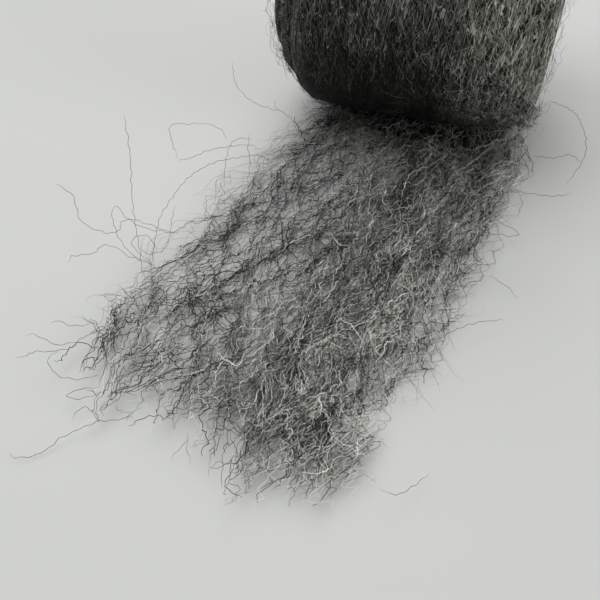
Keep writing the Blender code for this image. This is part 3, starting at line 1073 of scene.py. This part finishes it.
def matted_fibres():
    """Fine crossing fibres with the table showing between them, closer together to the right."""
    material, graph = new_finish("matted_fibres")
    x, y, z = graph.parts(graph.add("ShaderNodeTexCoord").outputs["Object"])
    end, heading = tail_centre(TAIL_LENGTH)
    side_axis = Vector((math.cos(heading), -math.sin(heading), 0.0))
    run_axis = Vector((-math.sin(heading), -math.cos(heading), 0.0))
    side = side_axis.x * x + side_axis.y * y - side_axis.dot(end)
    run = run_axis.x * x + run_axis.y * y - run_axis.dot(end) + TAIL_LENGTH

    half_width = TAIL_ROOT_WIDTH / 2 + (TAIL_END_WIDTH - TAIL_ROOT_WIDTH) / 2 * run / TAIL_LENGTH
    side_share = side / half_width
    patch_place = graph.xyz(side * PATCH_SCALE_ACROSS, run * PATCH_SCALE_ALONG, 3.1)
    patch = graph.noise(patch_place, detail=3.0) - 0.5
    from_waist = (run - DRAWN_WAIST_PLACE) / DRAWN_WAIST_REACH
    waist = DRAWN_WAIST * graph.math("MAXIMUM", 1.0 - from_waist ** 2.0, 0.0)
    from_left = (side_share - LEFT_BORDER) / LEFT_FADE + LEFT_PATCHES * patch
    from_right = (RIGHT_BORDER - waist - side_share) / RIGHT_FADE + RIGHT_PATCHES * patch
    from_end = (TAIL_LENGTH - END_BORDER - run) / END_FADE + END_PATCHES * patch
    inside = graph.math("MINIMUM", graph.math("MINIMUM", from_left, from_right), from_end)
    inside = graph.between(inside, 0.0, 1.0) ** CLOSENESS_POWER
    rows = graph.math("COSINE", math.pi * ((run - CELL_START) / CELL_PITCH_ALONG - 0.5))
    cell = 0.5 + 0.5 * rows * graph.math("COSINE", math.tau * side / CELL_PITCH_ACROSS)
    closeness = inside * (1.0 - CELL_THINNING * cell * (1.0 - CLOSE_CELLS * inside))

    warp = graph.wander(graph.xyz(side / WARP_SIZE, run / WARP_SIZE, 7.0), detail=2.0)
    base = DRAWN_GROUND
    cover = 0.0
    height = 0.0
    for number, (turn, pitch, length, width, tone) in enumerate(DRAWN_FIBRES):
        across = side * math.cos(turn) + run * math.sin(turn) + WARP * warp[0]
        along = run * math.cos(turn) - side * math.sin(turn)
        level = graph.noise(graph.xyz(across / pitch, along / length, NEXT_DRAWN_LAYER * number), detail=2.5)
        near = (width * closeness - graph.math("ABSOLUTE", level - 0.5)) / LINE_FADE
        line = graph.between(near, 0.0, 1.0)
        base = mixed_colour(graph, line, base, grey(tone, DRAWN_BLUE))
        cover = graph.math("MAXIMUM", cover, line)
        height = graph.math("MAXIMUM", height, line * (LOWEST_LINE + NEXT_LINE * number))
    bump = graph.add("ShaderNodeBump", sockets={"Strength": 0.6, "Distance": 0.0002, "Height": height})
    sockets = {"Base Color": base, "Metallic": 0.3, "Roughness": 0.55, "Specular IOR Level": 0.15}
    end_in_surface(graph, {**sockets, "Alpha": cover, "Normal": bump.outputs[0]})
    return material


# The studio


CAMERA_PLACE = Vector((0.0303, -0.2653, 0.1830))
CAMERA_TURN = math.radians(16.2)
CAMERA_DIP = math.radians(49.2)
CAMERA_LENS = 45.6
FILM_WIDTH = 36.0
TABLE_REACH = 2.0


def camera_axes():
    """The camera's own directions: right, up, and the way it looks."""
    right = Vector((math.cos(CAMERA_TURN), math.sin(CAMERA_TURN), 0.0))
    ahead = Vector((-math.sin(CAMERA_TURN), math.cos(CAMERA_TURN), 0.0))
    look = ahead * math.cos(CAMERA_DIP) - Vector((0.0, 0.0, 1.0)) * math.sin(CAMERA_DIP)
    return right, right.cross(look), look


def add_camera():
    lens = bpy.data.cameras.new("camera")
    lens.lens = CAMERA_LENS
    lens.sensor_width = FILM_WIDTH
    lens.clip_start = 0.005
    camera = placed("camera", lens)
    right, up, look = camera_axes()
    turn = Matrix((right, up, -look)).transposed().to_4x4()
    camera.matrix_world = Matrix.Translation(CAMERA_PLACE) @ turn
    bpy.context.scene.camera = camera


# Each soft light: where it stands, the point it faces, its width and height, its power in watts, and its tint
PANELS = {
    "window": ((-0.15, 0.95, 0.95), (0.0, -0.05, 0.03), (0.8, 0.6), 7.5, (1.0, 0.99, 0.97)),
    "ceiling": ((-0.50, -0.1, 1.00), (0.0, -0.05, 0.03), (1.1, 1.1), 7.6, (0.98, 1.0, 0.99)),
    "side_wall": ((0.95, -0.20, 0.30), (0.0, 0.0, 0.06), (0.5, 0.5), 4.4, (1.0, 1.0, 0.98)),
}


def add_panel(name, place, target, size, power, tint):
    """A soft square light that faces a point."""
    light = bpy.data.lights.new(name, "AREA")
    light.shape = "RECTANGLE"
    light.size, light.size_y = size
    light.energy = power
    light.color = tint
    panel = placed(name, light)
    panel.location = place
    panel.rotation_mode = "QUATERNION"
    panel.rotation_quaternion = (Vector(target) - Vector(place)).to_track_quat("-Z", "Y")


def table_top():
    material, graph = new_finish("table_top")
    place = graph.add("ShaderNodeTexCoord").outputs["Object"]
    cloud = graph.noise(place, scale=3.0, detail=2.0)
    base = mixed_colour(graph, cloud, (0.54, 0.545, 0.54, 1.0), (0.57, 0.57, 0.56, 1.0))
    end_in_surface(graph, {"Base Color": base, "Roughness": 0.6})
    mesh = bpy.data.meshes.new("table_top")
    corners = [(x * TABLE_REACH, y * TABLE_REACH, 0.0) for x, y in ((-1, -1), (1, -1), (1, 1), (-1, 1))]
    mesh.from_pydata(corners, [], [(0, 1, 2, 3)])
    mesh.materials.append(material)
    floor = placed("table_top", mesh)


def studio():
    world = bpy.data.worlds.new("studio")
    world.use_nodes = True
    graph = Graph(world.node_tree)
    sky = graph.add("ShaderNodeBackground", sockets={"Color": (0.98, 1.0, 0.99, 1.0), "Strength": 0.36})
    graph.add("ShaderNodeOutputWorld", sockets={0: sky.outputs[0]})
    bpy.context.scene.world = world
    for name, panel in PANELS.items():
        add_panel(name, *panel)
    bpy.context.scene.view_settings.view_transform = "Standard"


# The pieces


def free_end_fibres(tree, sheet, dull, clear):
    """The free end's ropes, the mesh and the thin layer between them, and what lies loose on top."""
    torn = {"run_high": 0.945, "ragged": 0.016, "waist": 0.18, "thinning": 0.45, "fray": 1.2}
    cells = {"cell_pull": 0.0013, "cell_dip": 0.45, "cell_start": CELL_START + TAIL_BEHIND}
    pieces = [fibre_bed(
        "free_end_ropes", tree, sheet, dull, strands=800, knees=30, run_low=0.02, side_low=-0.80,
        side_high=0.76, lean=1.15, shortest=0.014, longest=0.034, spread=0.44, rise_low=0.0008,
        rise_high=0.0040, gather=0.0030, gather_run=0.018, gather_width=0.007, wave=0.0020,
        wave_length=0.009, crinkle=0.0024, crinkle_length=0.0019, thin=0.00009, thick=0.00016,
        seed=10, **torn, **cells,
    )]
    for layer in range(2):
        pieces.append(fibre_bed(
            f"free_end_mesh_{layer + 1}", tree, sheet, dull, strands=1130, knees=21, run_low=0.10,
            side_low=-0.79, side_high=0.76, lean=0.8, shortest=0.008, longest=0.021, spread=0.70,
            rise_low=0.0003 + 0.0020 * layer, rise_high=0.0028 + 0.0022 * layer, gather=0.0020,
            gather_run=0.014, gather_width=0.006, wave=0.0022, wave_length=0.008, crinkle=0.0021,
            crinkle_length=0.0017, thin=0.00006, thick=0.00011, seed=12 + layer, **torn, **cells,
        ))
    pieces.append(matted_layer(matted_fibres()))
    # Short curls, most of them painted near-white as painted glints
    pieces.append(fibre_bed(
        "light_curls", tree, sheet, clear, strands=520, knees=8, run_low=0.12, run_high=0.90,
        ragged=0.02, side_low=-0.74, side_high=0.74, waist=0.24, lean=0.6, shortest=0.003,
        longest=0.010, spread=0.8, rise_low=0.0030, rise_high=0.0048, thinning=0.45, wave=0.0040,
        wave_length=0.006, crinkle=0.0004, thin=0.00003, thick=0.00007, seed=21,
    ))
    pieces.append(fibre_bed(
        "corner_tuft", tree, sheet, dull, strands=200, knees=24, run_low=0.76, run_high=0.960,
        ragged=0.014, side_low=0.16, side_high=0.70, lean=0.8, shortest=0.010, longest=0.022,
        spread=0.5, rise_low=0.0004, rise_high=0.0050, thinning=0.3, wave=0.0040, wave_length=0.007,
        crinkle=0.0012, crinkle_length=0.0020, fray=1.0, seed=23,
    ))
    pieces.append(fibre_bed(
        "free_end_root", tree, sheet, clear, strands=400, knees=18, run_low=0.03, run_high=0.42,
        ragged=0.040, side_low=-0.74, side_high=0.74, shortest=0.012, longest=0.028, spread=0.8,
        rise_low=0.0030, rise_high=0.0066, thinning=0.9, wave=0.0050, thin=0.00004, thick=0.00008,
        seed=25,
    ))
    for name, low, high, seed in (("left_curls", -0.86, -0.70, 27), ("right_curls", 0.64, 0.80, 28)):
        pieces.append(fibre_bed(
            name, tree, sheet, dull, strands=110, knees=34, run_low=0.10, run_high=0.90, ragged=0.02,
            side_low=low, side_high=high, waist=0.24, shortest=0.020, longest=0.040,
            rise_low=0.0010, rise_high=0.0060, wave=0.0150, wave_length=0.012, crinkle=0.0004,
            thin=0.00003, thick=0.00006, seed=seed,
        ))
    return pieces


def roll_fibres(tree, sheet, fair, curly, clear):
    """The long fibres round the roll, the short curls between them, and the fuzz on its two shoulders."""
    pieces = []
    for layer in range(2):
        pieces.append(fibre_bed(
            f"roll_face_{layer + 1}", tree, sheet, fair, strands=640, knees=18, side_low=-0.86,
            side_high=0.80, rise_low=-0.0004 + 0.0004 * layer, rise_high=0.0004 + 0.0006 * layer,
            shortest=0.008, longest=0.022, spread=0.24, wave=0.0022, wave_length=0.007,
            crinkle=0.0008, crinkle_length=0.0024, thick=0.00009, seed=31 + layer,
        ))
    pieces.append(fibre_bed(
        "roll_curls", tree, sheet, curly, strands=1820, knees=14, run_low=0.10, side_low=-0.86,
        side_high=0.80, lean=0.6, rise_low=-0.0002, shortest=0.004, longest=0.010, spread=0.8,
        wave=0.0044, wave_length=0.004, crinkle=0.0008, crinkle_length=0.0016, thin=0.00004,
        thick=0.00007, seed=41,
    ))
    for name, low, high, seed in (("left_fuzz", -0.88, -0.72, 43), ("right_fuzz", 0.66, 0.83, 44)):
        pieces.append(fibre_bed(
            name, tree, sheet, clear, strands=260, knees=18, side_low=low, side_high=high,
            rise_low=-0.0010, rise_high=0.0032, shortest=0.006, longest=0.018, spread=0.7,
            wave=0.0066, wave_length=0.007, crinkle=0.0005, thin=0.00003, thick=0.00006, seed=seed,
        ))
    return pieces


def end_fibres(tree, sheet, dull):
    """The fibres on the edges of the turns, at the roll's two ends."""
    pieces = []
    for name, low, high, seed in (("left_end", -0.95, -0.83, 51), ("right_end", 0.78, 0.90, 52)):
        pieces.append(fibre_bed(
            name, tree, sheet, dull, strands=200, knees=18, side_low=low, side_high=high,
            rise_low=-0.0028, rise_high=0.0030, shortest=0.008, longest=0.022, spread=0.2,
            wave=0.0022, wave_length=0.007, thin=0.00004, thick=0.00008, seed=seed,
        ))
    return pieces


def wool():
    """Every piece of the ribbon, riding on the frame's one body."""
    tree = fibre_bed_tree()
    dull, fair, curly, clear, painted_glint = [steel_fibre(name, *kind) for name, kind in FIBRE_KINDS.items()]
    tail = tail_sheet()
    face = face_sheet()
    winding = winding_sheet()
    core = wool_core(core_in_painted_shade())
    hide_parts("wool_ribbon")
    pieces = [core]
    pieces += free_end_fibres(tree, tail, dull, clear)
    pieces += roll_fibres(tree, face, fair, curly, clear)
    pieces += end_fibres(tree, winding, dull)
    pieces.append(single_fibres("sprung_fibres", SPRUNG_FIBRES, SPRUNG_GIRTH, dull))
    pieces.append(single_fibres("bright_fibres", PAINTED_GLINT_FIBRES, PAINTED_GLINT_GIRTH, painted_glint))
    for sheet in (tail, face, winding):
        sheet.remove()
    for piece in pieces:
        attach(piece, "root")


wool()
table_top()
studio()
add_camera()
